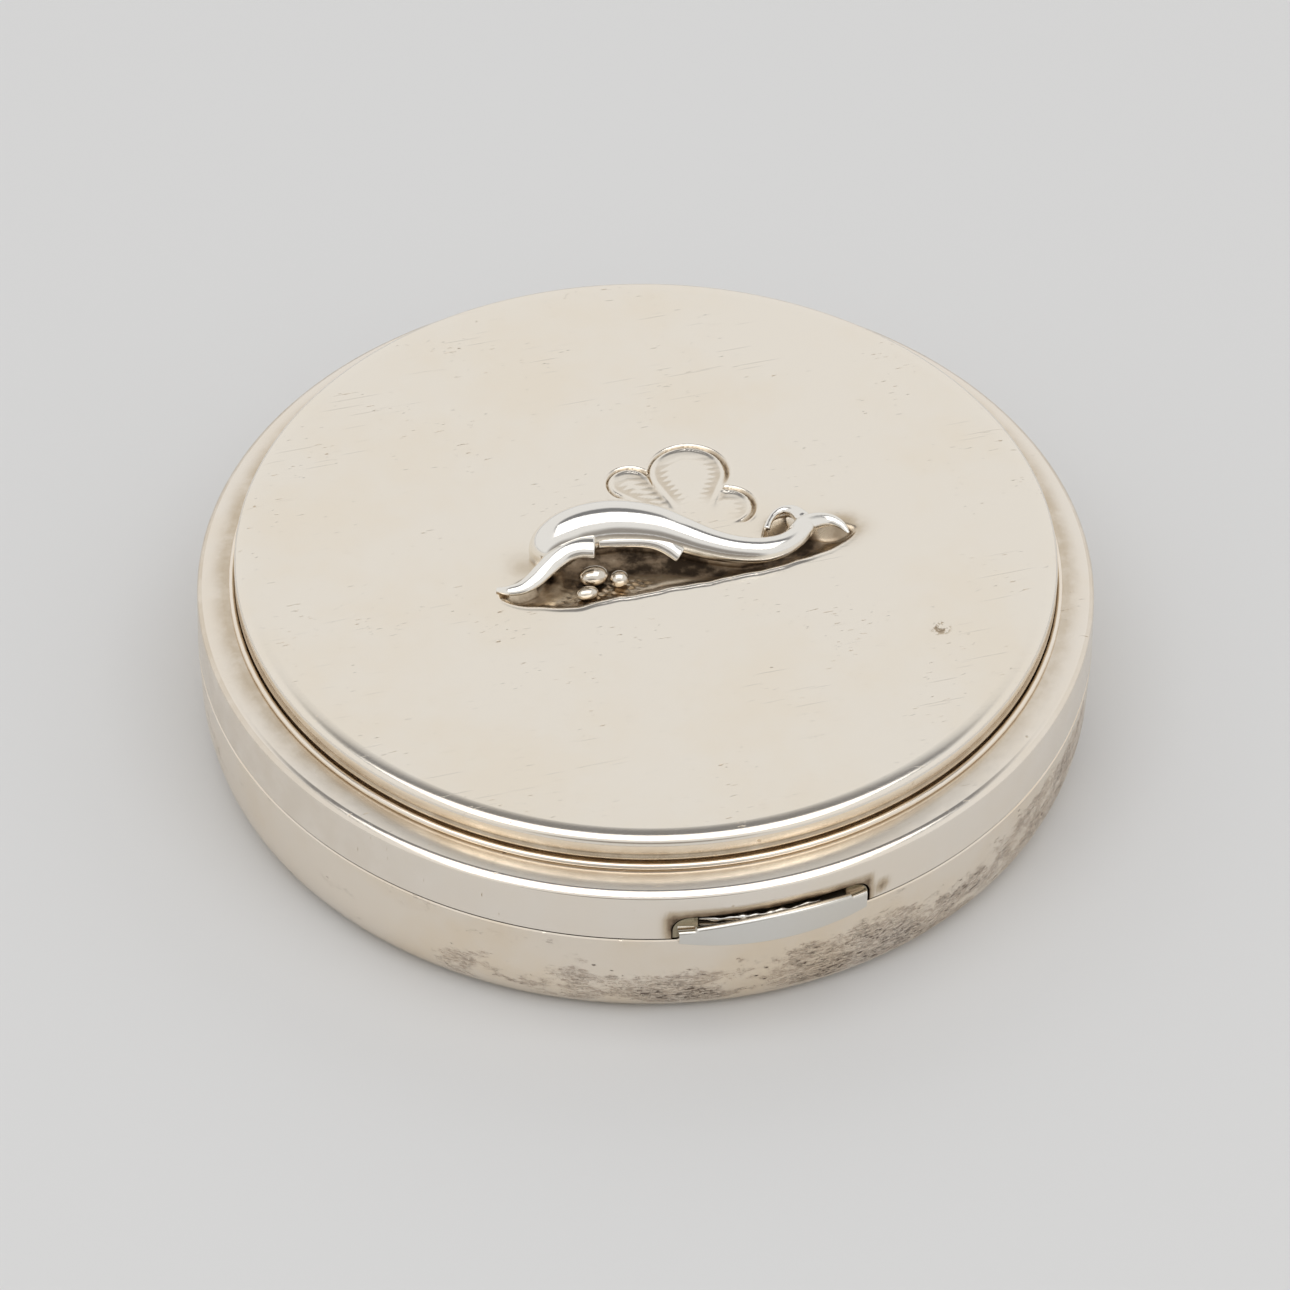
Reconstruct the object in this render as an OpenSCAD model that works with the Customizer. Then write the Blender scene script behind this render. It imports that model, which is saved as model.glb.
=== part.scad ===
// Round hinged pill box with a raised lid, an applied relief and a push-piece catch.
// Millimetres. Origin at the centre of the underside, +Z up, catch at -Y, hinge at +Y.

/* [Body] */
// Outer diameter at the seam between base and lid
body_d = 50; // [49:0.5:52]
// Height of the seam above the underside
seam_z = 6.26; // [6:0.02:6.5]
// Thickness of the silver sheet
wall = 0.9; // [0.8:0.05:1]
// Width of the elliptical corner at the underside
corner_w = 1.5; // [1:0.1:2]
// Height of the elliptical corner at the underside
corner_h = 3.3; // [2.5:0.1:3.8]
// Gap between the base rim and the lid rim
seam_gap = 0.08; // [0.06:0.01:0.12]

/* [Lid] */
// Height of the flat lid top above the underside
lid_top_z = 11.6; // [11.4:0.05:12]
// Height of the ledge round the raised platform
ledge_z = 9.62; // [9.5:0.02:9.7]
// Outer diameter of the raised platform
platform_d = 45.62; // [45:0.1:46]
// Width of the rounded platform edge
platform_edge_w = 0.55; // [0.4:0.05:0.7]
// Height of the rounded platform edge
platform_edge_h = 0.66; // [0.5:0.02:0.8]
// Radius of the rounded outer edge of the ledge
rim_round = 0.45; // [0.35:0.05:0.55]
// Diameter of the wire in the foot of the platform
foot_wire_d = 0.34; // [0.25:0.01:0.4]

/* [Hinge] */
// Outer diameter of the hinge knuckles
knuckle_d = 1.8; // [1.6:0.1:1.9]
// Diameter of the hinge pin
pin_d = 0.8; // [0.7:0.05:0.9]
// Length of the whole hinge
hinge_w = 12; // [10:0.5:13]
// Radial clearance between the pin and the lid knuckles
pin_gap = 0.05; // [0.03:0.01:0.08]
// Space between neighbouring knuckles
knuckle_gap = 0.08; // [0.05:0.01:0.12]

/* [Catch] */
// Width of the push bar
bar_w = 10.4; // [10:0.1:10.6]
// How far the push bar stands out of the wall at its middle
bar_out = 0.95; // [0.85:0.01:1]
// Radius of the push bar's front face
bar_front_r = 13.4; // [13:0.1:13.8]
// Height of the push bar
bar_h = 1.48; // [1.4:0.02:1.6]
// Height of the notch in the lid rim above the seam
notch_h = 1.6; // [1.58:0.02:2]
// Width of the notch in the lid rim
notch_w = 11; // [10.9:0.1:11.2]
// Play round the push-piece in its notch
notch_gap = 0.1; // [0.06:0.01:0.15]
// Thickness of the push bar's upstanding edge
bar_edge_t = 0.42; // [0.35:0.01:0.5]
// Depth of the groove behind the upstanding edge
bar_groove = 0.5; // [0.4:0.02:0.6]

/* [Relief] */
// Length of the sunken field in the lid
field_l = 20.6; // [20:0.1:21]
// Depth of the sunken field
field_depth = 1.25; // [1:0.05:1.4]
// Thickness of the chased fan lobes
fan_h = 0.22; // [0.15:0.01:0.3]

/* [Hidden] */
$fn = 96;

eps = 0.01;
body_r = body_d / 2;
inner_r = body_r - wall;
wall_draft = 0.08;              // the walls lean in by this much away from the seam
base_top_z = seam_z - seam_gap / 2;
lid_bottom_z = seam_z + seam_gap / 2;
platform_r = platform_d / 2;
skirt_inner_r = inner_r + 0.1;  // runs clear of the bezel
bezel_top_z = seam_z + 1.05;
bezel_bottom_z = seam_z - 2;
bezel_t = 0.8;
flange_inner_r = platform_r - 1.4;
flange_z = ledge_z - 0.87;
plate_t = 1;
ledge_fall = 0.12;              // the ledge slopes down to its outer edge by this much

knuckle_r = knuckle_d / 2;
knuckle_clear = 0.1;
bearer_w = hinge_w + 2;
bearer_r = inner_r - 1.4;
knuckles = 5;
knuckle_l = (hinge_w - (knuckles - 1) * knuckle_gap) / knuckles;

bar_z = lid_bottom_z + 0.04;
bar_half = bar_w / 2;
bar_end_l = 0.95;               // length at each end that is a step lower
bar_step = 0.17;
notch_half = notch_w / 2;
carrier_half = notch_half - notch_gap;
notch_top_z = seam_z + notch_h;
notch_round = 0.9;
carrier_top_z = notch_top_z - notch_gap;
carrier_inner_r = inner_r + 0.15;
slot_half = 4.1;
ear_out_r = inner_r - 0.55;
lug_in_r = ear_out_r + 0.1;
ear_x0 = notch_half + 0.2;
ear_x1 = notch_half + 1.7;
ear_z0 = 7.75;
ear_z1 = 8.2;
housing_y = -(inner_r - 3.5);
housing_t = 0.6;
housing_half = 9.5;
housing_top_z = 8;
catch_gap_half = housing_half + 0.1;

silver = [0.80, 0.78, 0.74];
polished = [0.88, 0.88, 0.87];
gilt = [0.80, 0.72, 0.55];
dark = [0.45, 0.41, 0.36];

// ---------- helpers ----------

// Points along an elliptical quarter: centre c, half axes a and b, from angle a0 to a1
function arc(c, a, b, a0, a1, n = 10) =
    [for (i = [0:n]) let (t = a0 + (a1 - a0) * i / n) [c[0] + a * cos(t), c[1] + b * sin(t)]];

// Catmull-Rom curve through rows of numbers
function curve_row(p0, p1, p2, p3, t) =
    0.5 * (2 * p1 + (p2 - p0) * t + (2 * p0 - 5 * p1 + 4 * p2 - p3) * t * t
        + (3 * p1 - p0 - 3 * p2 + p3) * t * t * t);
function curve(rows, steps) = let (last = len(rows) - 1) concat(
    [for (i = [0:last - 1]) for (s = [0:steps - 1])
        curve_row(rows[max(i - 1, 0)], rows[i], rows[i + 1], rows[min(i + 2, last)], s / steps)],
    [rows[last]]);

function place(row) = [row[0], row[1], row[2]];
function unit(v) = v / norm(v);

// One elliptical ring of points across a curve at row i; row = [x, y, z, half width, half height]
function ring(rows, i, sides) =
    let (last = len(rows) - 1,
        along = unit(place(rows[min(i + 1, last)]) - place(rows[max(i - 1, 0)])),
        side = unit(cross(along, [0, 0, 1])),
        up = cross(side, along))
    [for (k = [0:sides - 1]) let (t = 360 * k / sides)
        place(rows[i]) + side * rows[i][3] * cos(t) + up * rows[i][4] * sin(t)];

// Closed solid of elliptical section swept along a curve, standing on the lid's top plane
module sweep(rows, steps = 4, sides = 20) {
    path = curve(rows, steps);
    n = len(path);
    points = [for (i = [0:n - 1]) each ring(path, i, sides)];
    walls = [for (i = [0:n - 2]) for (k = [0:sides - 1]) let (j = (k + 1) % sides)
        [i * sides + k, i * sides + j, (i + 1) * sides + j, (i + 1) * sides + k]];
    caps = [[for (k = [sides - 1:-1:0]) k], [for (k = [0:sides - 1]) (n - 1) * sides + k]];
    translate([0, 0, lid_top_z]) polyhedron(points, concat(walls, caps), convexity = 6);
}

// Upright slab between two radii and two heights, as wide as |x| < half, on the side y = dir
module arc_block(r0, r1, z0, z1, x0, x1, dir) {
    intersection() {
        difference() {
            translate([0, 0, z0]) cylinder(h = z1 - z0, r = r1);
            translate([0, 0, z0 - 1]) cylinder(h = z1 - z0 + 2, r = r0);
        }
        translate([x0, dir > 0 ? 0 : -2 * body_r, z0 - 1]) cube([x1 - x0, 2 * body_r, z1 - z0 + 2]);
    }
}

// ---------- hinge ----------

function knuckle_x(i) = -hinge_w / 2 + i * (knuckle_l + knuckle_gap);

module hinge_rod(x0, length, r) {
    translate([x0, body_r, seam_z]) rotate([0, 90, 0]) cylinder(h = length, r = r);
}

// Grooves for the knuckles: exact for a shell's own knuckles, clear of the other shell's
module hinge_grooves(first_own) {
    for (i = [0:knuckles - 1]) {
        own = i % 2 == first_own;
        grow = own ? 0 : knuckle_clear;
        hinge_rod(knuckle_x(i) - (own ? eps : knuckle_gap), knuckle_l + (own ? 2 * eps : 2 * knuckle_gap),
            knuckle_r + grow);
    }
}

module knuckle_set(first, bore_r) {
    for (i = [first:2:knuckles - 1])
        difference() {
            hinge_rod(knuckle_x(i), knuckle_l, knuckle_r);
            hinge_rod(knuckle_x(i) - 1, knuckle_l + 2, bore_r);
        }
}

module hinge_knuckles_base() color(silver) knuckle_set(0, pin_d / 2);
module hinge_knuckles_lid() color(silver) knuckle_set(1, pin_d / 2 + pin_gap);
module hinge_pin() color(polished) hinge_rod(-hinge_w / 2 - 0.1, hinge_w + 0.2, pin_d / 2);

module hinge_bearer_base() color(silver) difference() {
    arc_block(bearer_r, inner_r, bezel_bottom_z, base_top_z, -bearer_w / 2, bearer_w / 2, 1);
    hinge_grooves(0);
}

module hinge_bearer_lid() color(silver) difference() {
    arc_block(bearer_r, skirt_inner_r, lid_bottom_z + 0.06, flange_z, -bearer_w / 2, bearer_w / 2, 1);
    hinge_grooves(1);
}

// ---------- base ----------

module base_shell() color(silver) difference() {
    rotate_extrude() difference() {
        polygon(concat(
            [[0, 0]],
            arc([body_r - wall_draft - corner_w, corner_h], corner_w, corner_h, -90, 0),
            [[body_r, base_top_z], [0, base_top_z]]));
        polygon(concat(
            [[0, wall]],
            arc([inner_r - wall_draft - corner_w, corner_h], corner_w, corner_h - wall, -90, 0),
            [[inner_r, bezel_bottom_z - 0.2], [inner_r, base_top_z + 1], [0, base_top_z + 1]]));
    }
    hinge_grooves(0);
}

module base_bezel() color(silver) difference() {
    translate([0, 0, bezel_bottom_z]) cylinder(h = bezel_top_z - bezel_bottom_z, r = inner_r);
    translate([0, 0, bezel_bottom_z - 1]) cylinder(h = 6, r = inner_r - bezel_t);
    translate([-catch_gap_half, -2 * body_r, 0]) cube([2 * catch_gap_half, 2 * body_r, 20]);
    translate([-bearer_w / 2 - 0.3, 0, 0]) cube([bearer_w + 0.6, 2 * body_r, 20]);
}

// ---------- catch ----------

module catch_housing() color(silver) intersection() {
    translate([0, 0, wall]) cylinder(h = housing_top_z - wall, r = inner_r - wall_draft - 0.02);
    difference() {
        translate([-housing_half, housing_y - 4, wall]) cube([2 * housing_half, 4 + housing_t, housing_top_z]);
        translate([-housing_half + housing_t, housing_y - 5, 0])
            cube([2 * (housing_half - housing_t), 5, 20]);
        // the base corner keeps its own room
        difference() {
            cylinder(h = corner_h, r = body_r);
            translate([0, 0, -1]) cylinder(h = 20, r = inner_r - corner_w - wall_draft);
        }
    }
}

// Bowed leaf: its ends bear on the housing and its middle on the push-piece
module catch_spring() {
    span = 5.5;
    bow = 2.3;
    leaf_t = 0.15;
    leaf_r = (span * span + bow * bow) / (2 * bow);
    color(dark) intersection() {
        translate([0, housing_y - bow - 0.02 + leaf_r, 6.7]) difference() {
            cylinder(h = 1.2, r = leaf_r);
            translate([0, 0, -1]) cylinder(h = 4, r = leaf_r - leaf_t);
        }
        translate([-span, housing_y - 2, 6]) cube([2 * span, 2 - 0.05, 4]);
    }
}

module bar_disc(h, r) {
    translate([0, -(body_r + bar_out - bar_front_r), 0]) cylinder(h = h, r = r);
}

// Crescent bar with an upstanding front edge, a step lower at both ends
module push_bar() color(polished) difference() {
    intersection() {
        translate([0, 0, bar_z]) bar_disc(bar_h, bar_front_r);
        translate([-bar_half, -2 * body_r, 0]) cube([bar_w, 2 * body_r, 20]);
    }
    translate([0, 0, bar_z - 1]) cylinder(h = bar_h + 2, r = body_r - 0.1);
    translate([0, 0, bar_z + bar_h - bar_groove]) bar_disc(2, bar_front_r - bar_edge_t);
    for (x = [-bar_half - 1, bar_half - bar_end_l])
        translate([x, -2 * body_r, bar_z + bar_h - bar_step]) cube([bar_end_l + 1, 2 * body_r, 2]);
}

module push_carrier() color(silver) difference() {
    arc_block(carrier_inner_r, body_r - 0.1, bar_z, carrier_top_z, -carrier_half, carrier_half, -1);
    // window behind the bar, and the rounded upper corners
    translate([-slot_half, -2 * body_r, bar_z + bar_h - bar_groove]) cube([2 * slot_half, 2 * body_r, 20]);
    for (s = [-1, 1]) translate([s * (carrier_half - notch_round), 0, carrier_top_z - notch_round])
        rotate([90, 0, 0]) difference() {
            translate([s > 0 ? 0 : -2, 0, 0]) cube([2, 2, 2 * body_r]);
            translate([0, 0, -1]) cylinder(h = 2 * body_r + 2, r = notch_round);
        }
}

module push_stem() color(dark) arc_block(ear_out_r, carrier_inner_r, bar_z + 0.1, bar_z + 0.9, -3, 3, -1);

module catch_ears() color(dark) {
    arc_block(ear_out_r - 0.6, ear_out_r - 0.2, 6.6, ear_z1, -ear_x1, ear_x1, -1);
    for (s = [-1, 1])
        arc_block(ear_out_r - 0.2, ear_out_r, ear_z0, ear_z1,
            s > 0 ? ear_x0 : -ear_x1, s > 0 ? ear_x1 : -ear_x0, -1);
    arc_block(ear_out_r - 0.2, ear_out_r, bar_z + 0.1, bar_z + 0.9, -3, 3, -1);
}

module strike_lugs() color(dark) for (s = [-1, 1])
    arc_block(lug_in_r, skirt_inner_r, 7.1, 7.6, s > 0 ? ear_x0 : -ear_x1, s > 0 ? ear_x1 : -ear_x0, -1);

// Notch in the lid rim for the push-piece
module catch_notch() {
    translate([0, 0, notch_top_z - notch_round]) rotate([90, 0, 0]) {
        for (s = [-1, 1]) translate([s * (notch_half - notch_round), 0, 0])
            cylinder(h = 2 * body_r, r = notch_round);
        translate([-notch_half + notch_round, 0, 0])
            cube([2 * (notch_half - notch_round), notch_round, 2 * body_r]);
    }
    translate([-notch_half, -2 * body_r, 0]) cube([2 * notch_half, 2 * body_r, notch_top_z - notch_round]);
}

// ---------- lid ----------

module lid_rim() color(silver) difference() {
    rotate_extrude() polygon(concat(
        [[skirt_inner_r, lid_bottom_z], [body_r, lid_bottom_z]],
        arc([body_r - wall_draft - rim_round, ledge_z - ledge_fall - rim_round],
            rim_round, rim_round, 0, 90, 8),
        [[platform_r + 0.2, ledge_z], [flange_inner_r, ledge_z], [flange_inner_r, flange_z],
            [skirt_inner_r, flange_z]]));
    catch_notch();
    hinge_grooves(1);
}

module lid_plate() color(silver) difference() {
    rotate_extrude() polygon(concat(
        [[0, lid_top_z - plate_t], [platform_r - wall, lid_top_z - plate_t], [platform_r - wall, ledge_z],
            [platform_r, ledge_z]],
        arc([platform_r - platform_edge_w, lid_top_z - platform_edge_h],
            platform_edge_w, platform_edge_h, 0, 90, 8),
        [[0, lid_top_z]]));
    translate([0, 0, lid_top_z - plate_t - 1]) linear_extrude(plate_t + 2) field_outline(0);
}

module foot_wire() color(gilt) rotate_extrude()
    translate([platform_r + foot_wire_d / 2, ledge_z + foot_wire_d / 2]) circle(d = foot_wire_d, $fn = 32);

// Leaf-shaped outline of the sunken field, from two arcs that meet at its tips
field_c = [1.3, -1.4];
field_front = 2.45;             // how far each arc bulges from the line between the tips
field_back = 1.4;

function bulge_r(half, bulge) = (half * half + bulge * bulge) / (2 * bulge);

module field_outline(grow) {
    half = field_l / 2 + grow;
    front = field_front + grow;
    back = field_back + grow;
    front_r = bulge_r(half, front);
    back_r = bulge_r(half, back);
    front_a = asin(half / front_r);
    back_a = asin(half / back_r);
    translate(field_c) polygon(concat(
        arc([0, front_r - front], front_r, front_r, -90 - front_a, -90 + front_a, 24),
        arc([0, back - back_r], back_r, back_r, 90 - back_a, 90 + back_a, 24)));
}

module field_dish() color(dark) difference() {
    translate([0, 0, lid_top_z - plate_t - 0.85]) linear_extrude(0.85) field_outline(0.9);
    translate([0, 0, lid_top_z - field_depth]) linear_extrude(2) field_outline(-0.15);
}

// ---------- relief: rows are [x, y, height over the lid, half width, half height] ----------

body_rows = [
    [-5.75, 0.45, -0.35, 0.80, 0.78],
    [-5.45, 0.50, 0.45, 1.20, 1.17],
    [-4.75, 0.60, 1.15, 1.33, 1.31],
    [-3.60, 0.68, 1.52, 1.36, 1.34],
    [-2.14, 0.56, 1.65, 1.36, 1.34],
    [-0.77, 0.23, 1.62, 1.31, 1.29],
    [0.57, -0.22, 1.44, 1.20, 1.18],
    [1.85, -0.86, 1.12, 1.03, 1.01],
    [3.11, -1.62, 0.86, 0.88, 0.88],
    [4.41, -2.20, 0.66, 0.78, 0.78],
    [5.78, -2.54, 0.53, 0.72, 0.72],
    [6.97, -2.50, 0.50, 0.65, 0.65],
    [8.00, -2.05, 0.50, 0.60, 0.58],
    [8.80, -1.30, 0.50, 0.58, 0.52]];

snout_rows = [
    [-8.82, -1.36, 0.10, 0.18, 0.12],
    [-8.28, -1.68, 0.20, 0.34, 0.24],
    [-7.57, -1.75, 0.30, 0.44, 0.30],
    [-6.86, -1.53, 0.50, 0.52, 0.36],
    [-6.10, -1.16, 0.80, 0.58, 0.42],
    [-5.44, -0.87, 1.12, 0.64, 0.46],
    [-4.69, -0.66, 1.40, 0.70, 0.50],
    [-3.95, -0.66, 1.55, 0.78, 0.54],
    [-3.25, -0.85, 1.60, 0.84, 0.56]];

fin_rows = [
    [-2.82, -0.40, 1.45, 0.45, 0.38],
    [-1.59, -0.62, 1.42, 0.48, 0.40],
    [-0.47, -0.81, 1.34, 0.52, 0.42],
    [0.35, -1.02, 1.20, 0.60, 0.46],
    [0.99, -1.33, 0.98, 0.68, 0.48],
    [1.50, -1.71, 0.70, 0.70, 0.44]];

fluke_rows = [
    [8.00, -1.90, 0.50, 0.58, 0.50],
    [8.85, -1.15, 0.50, 0.60, 0.50],
    [9.66, -0.93, 0.46, 0.50, 0.44],
    [10.36, -1.06, 0.40, 0.38, 0.32],
    [10.83, -1.47, 0.28, 0.27, 0.22],
    [11.08, -1.96, 0.10, 0.12, 0.10]];

curl_rows = [
    [8.87, -0.61, 0.50, 0.46, 0.40],
    [8.55, 0.06, 0.50, 0.36, 0.32],
    [7.99, 0.36, 0.45, 0.25, 0.25],
    [7.42, 0.15, 0.40, 0.21, 0.22],
    [7.00, -0.30, 0.34, 0.19, 0.20],
    [6.78, -0.66, 0.28, 0.21, 0.20]];

module relief_body() color(polished) sweep(body_rows, 4, 24);
module relief_snout() color(polished) sweep(snout_rows, 4, 16);
module relief_fin() color(polished) sweep(fin_rows, 4, 16);
module relief_fluke() color(polished) sweep(fluke_rows, 4, 16);
module relief_curl() color(polished) sweep(curl_rows, 4, 16);

// A bead is a sphere of radius 1 stretched to its three half axes
module bead(x, y, z, half) {
    translate([x, y, lid_top_z + z]) resize(2 * half) sphere(r = 1, $fn = 32);
}

module relief_bead_large() color(polished) bead(-3.34, -1.18, -0.35, [0.85, 0.62, 0.54]);

module relief_beads_small() color(polished) {
    bead(-4.00, -2.24, -0.55, [0.64, 0.42, 0.36]);
    bead(-1.99, -1.63, -0.50, [0.55, 0.50, 0.46]);
}

// ---------- chased shell fan behind the relief ----------

fan_root = [3.2, 0.9];
fan_root_r = 0.5;
fan_centre = [3.9, 5.2, 2.2];   // x, y and radius of each lobe's rounded end
fan_left = [0.5, 5.2, 1.25];
fan_right = [5.25, 1.95, 1.5];

module lobe_outline(lobe) hull() {
    translate(fan_root) circle(r = fan_root_r, $fn = 24);
    translate([lobe[0], lobe[1]]) circle(r = lobe[2], $fn = 48);
}

// A lobe is a thin petal with a shallow dish inside its rim
module lobe(shape, other = [0, 0, 0]) {
    rim = 0.3;
    difference() {
        translate([0, 0, lid_top_z]) linear_extrude(fan_h) difference() {
            lobe_outline(shape);
            if (other[2] > 0) lobe_outline([other[0], other[1], other[2] + 0.06]);
        }
        translate([shape[0], shape[1], lid_top_z + fan_h / 2])
            cylinder(h = fan_h, r1 = shape[2] - 2 * rim, r2 = shape[2] - rim);
    }
}

module fan_lobe_centre() color(silver) lobe(fan_centre);
module fan_lobe_left() color(silver) lobe(fan_left, fan_centre);
module fan_lobe_right() color(silver) lobe(fan_right, fan_centre);

// Slender ribs that spread from the fan's root over the centre lobe
module fan_ribs() color(polished) {
    rib_d = 0.24;
    for (tip = [[2.6, 5.7], [3.9, 6.2], [5.1, 5.4]]) hull() {
        for (end = [0.12, 1]) translate([
            fan_root[0] + (tip[0] - fan_root[0]) * end,
            fan_root[1] + (tip[1] - fan_root[1]) * end,
            lid_top_z + fan_h / 2 + rib_d / 2]) sphere(d = rib_d, $fn = 16);
    }
}

base_shell();
base_bezel();
hinge_bearer_base();
hinge_knuckles_base();
hinge_pin();
catch_housing();
catch_spring();
push_bar();
push_carrier();
push_stem();
catch_ears();
lid_rim();
lid_plate();
foot_wire();
field_dish();
hinge_bearer_lid();
hinge_knuckles_lid();
strike_lugs();
relief_body();
relief_snout();
relief_fin();
relief_fluke();
relief_curl();
relief_bead_large();
relief_beads_small();
fan_lobe_left();
fan_lobe_centre();
fan_lobe_right();
fan_ribs();
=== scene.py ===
import math

import bmesh
import bpy
import numpy as np
from mathutils import Matrix, Vector


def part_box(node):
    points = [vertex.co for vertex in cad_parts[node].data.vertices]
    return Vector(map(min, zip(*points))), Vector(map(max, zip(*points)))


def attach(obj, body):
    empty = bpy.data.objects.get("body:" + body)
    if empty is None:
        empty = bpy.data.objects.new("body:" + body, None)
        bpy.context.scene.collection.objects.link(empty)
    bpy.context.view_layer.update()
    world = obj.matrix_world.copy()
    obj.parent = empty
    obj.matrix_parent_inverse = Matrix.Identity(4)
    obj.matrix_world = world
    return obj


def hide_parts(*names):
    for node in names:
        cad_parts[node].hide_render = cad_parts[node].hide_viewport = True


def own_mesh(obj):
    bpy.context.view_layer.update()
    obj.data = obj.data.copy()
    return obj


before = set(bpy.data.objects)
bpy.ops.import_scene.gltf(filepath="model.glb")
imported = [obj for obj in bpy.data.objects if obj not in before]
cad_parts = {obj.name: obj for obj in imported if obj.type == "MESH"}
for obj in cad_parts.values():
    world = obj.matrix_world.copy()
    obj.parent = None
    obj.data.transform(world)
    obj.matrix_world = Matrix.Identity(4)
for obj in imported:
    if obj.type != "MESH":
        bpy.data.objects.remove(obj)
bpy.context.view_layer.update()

MM = 0.001

# ---------- sizes, from the frame ----------

BASE_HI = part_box("base_shell")[1]
RIM_LO, RIM_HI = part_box("lid_rim")
PLATE_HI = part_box("lid_plate")[1]
BAR_LO, BAR_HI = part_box("push_bar")
SPRING_LO, SPRING_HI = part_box("catch_spring")
CARRIER_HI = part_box("push_carrier")[1]
KNUCKLE_LO, KNUCKLE_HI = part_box("hinge_knuckles_base")

BODY_R = BASE_HI.x
BASE_TOP = BASE_HI.z
LID_BOTTOM = RIM_LO.z
LEDGE_Z = RIM_HI.z
LID_TOP = PLATE_HI.z
PLATFORM_R = PLATE_HI.x
KNUCKLE_R = (KNUCKLE_HI.z - KNUCKLE_LO.z) / 2
HINGE_Z = (KNUCKLE_HI.z + KNUCKLE_LO.z) / 2
HINGE_HALF = KNUCKLE_HI.x

WALL = 0.9 * MM
DRAFT = 0.08 * MM               # the walls lean in by this much away from the seam
SEAM_LIP = 0.07 * MM            # bevel on both edges of the seam between base and lid
CORNER_W = 1.5 * MM             # the pan's rounded bottom corner
CORNER_H = 3.3 * MM
LEDGE_FALL = 0.12 * MM          # the ledge falls by this much from the platform to the rim's rounded edge
RIM_ARCS = ((0.03, 10), (0.26, 28), (0.20, 44), (0.15, 88))       # length in mm, tilt at its end
EDGE_ARCS = ((0.03, 3.5), (0.36, 9), (0.32, 28), (0.40, 88))
PLATE_T = 1.0 * MM
FLANGE_T = 0.87 * MM
SKIRT_R = BODY_R - WALL + 0.1 * MM
FLANGE_R = PLATFORM_R - 1.4 * MM
SEGMENTS = 720
CREASE = 35                     # edges sharper than this many degrees stay crisp
CLOSE = 1e-7                    # points nearer than this are one point
CUP_STEP = 1.5 * MM             # longest edge along the pan's profile


# ---------- mesh helpers ----------

def mesh_object(name, verts, faces, sharp=CREASE):
    """A smooth-shaded mesh object whose edges above `sharp` degrees stay crisp."""
    mesh = bpy.data.meshes.new(name)
    mesh.from_pydata([tuple(v) for v in verts], [], faces)
    mesh.validate()
    obj = bpy.data.objects.new(name, mesh)
    bpy.context.scene.collection.objects.link(obj)
    tidy_mesh(obj, sharp)
    return obj


def tidy_mesh(obj, sharp=CREASE):
    """Outward normals, smooth faces, sharp creases."""
    bm = bmesh.new()
    bm.from_mesh(obj.data)
    bmesh.ops.recalc_face_normals(bm, faces=bm.faces)
    bm.to_mesh(obj.data)
    bm.free()
    for polygon in obj.data.polygons:
        polygon.use_smooth = True
    obj.data.set_sharp_from_angle(angle=math.radians(sharp))


def quarter(centre, a, b, start, end, steps):
    """Points along an ellipse from start to end degrees."""
    angles = np.radians(np.linspace(start, end, steps + 1))
    return [(centre[0] + a * math.cos(t), centre[1] + b * math.sin(t)) for t in angles]


def subdivided(profile, longest):
    """The closed profile with extra points, so that no step is longer than `longest`."""
    out = []
    for p, q in zip(profile, profile[1:] + profile[:1]):
        steps = max(1, math.ceil(math.dist(p, q) / longest))
        out += [(p[0] + (q[0] - p[0]) * i / steps, p[1] + (q[1] - p[1]) * i / steps)
                for i in range(steps)]
    return out


def merge_close(obj):
    bm = bmesh.new()
    bm.from_mesh(obj.data)
    bmesh.ops.remove_doubles(bm, verts=bm.verts, dist=CLOSE)
    bmesh.ops.dissolve_degenerate(bm, dist=CLOSE, edges=bm.edges)
    bm.to_mesh(obj.data)
    bm.free()


def lathe(name, profile):
    """A solid ring turned from a closed profile of (radius, height)."""
    angles = np.linspace(0, 2 * math.pi, SEGMENTS, endpoint=False)
    n = len(profile)
    verts = [(r * math.cos(t), r * math.sin(t), z) for t in angles for r, z in profile]
    faces = []
    for s in range(SEGMENTS):
        t = (s + 1) % SEGMENTS
        for i in range(n):
            j = (i + 1) % n
            faces.append((s * n + i, s * n + j, t * n + j, t * n + i))
    obj = mesh_object(name, verts, faces)
    merge_close(obj)
    return obj


def revolved_cup(name, profile):
    """A cup turned from an open profile; its two ends lie on the axis, and their discs close it."""
    middle = profile[1:-1]
    fine = [middle[0]]
    for p, q in zip(middle, middle[1:]):
        steps = max(1, math.ceil(math.dist(p, q) / CUP_STEP))
        fine += [(p[0] + (q[0] - p[0]) * i / steps, p[1] + (q[1] - p[1]) * i / steps)
                 for i in range(1, steps + 1)]
    n = len(fine)
    angles = np.linspace(0, 2 * math.pi, SEGMENTS, endpoint=False)
    verts = [(r * math.cos(t), r * math.sin(t), z) for t in angles for r, z in fine]
    faces = []
    for s in range(SEGMENTS):
        t = (s + 1) % SEGMENTS
        faces += [(s * n + i, t * n + i, t * n + i + 1, s * n + i + 1) for i in range(n - 1)]
    faces.append(tuple(s * n for s in reversed(range(SEGMENTS))))
    faces.append(tuple(s * n + n - 1 for s in range(SEGMENTS)))
    return mesh_object(name, verts, faces)


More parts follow.
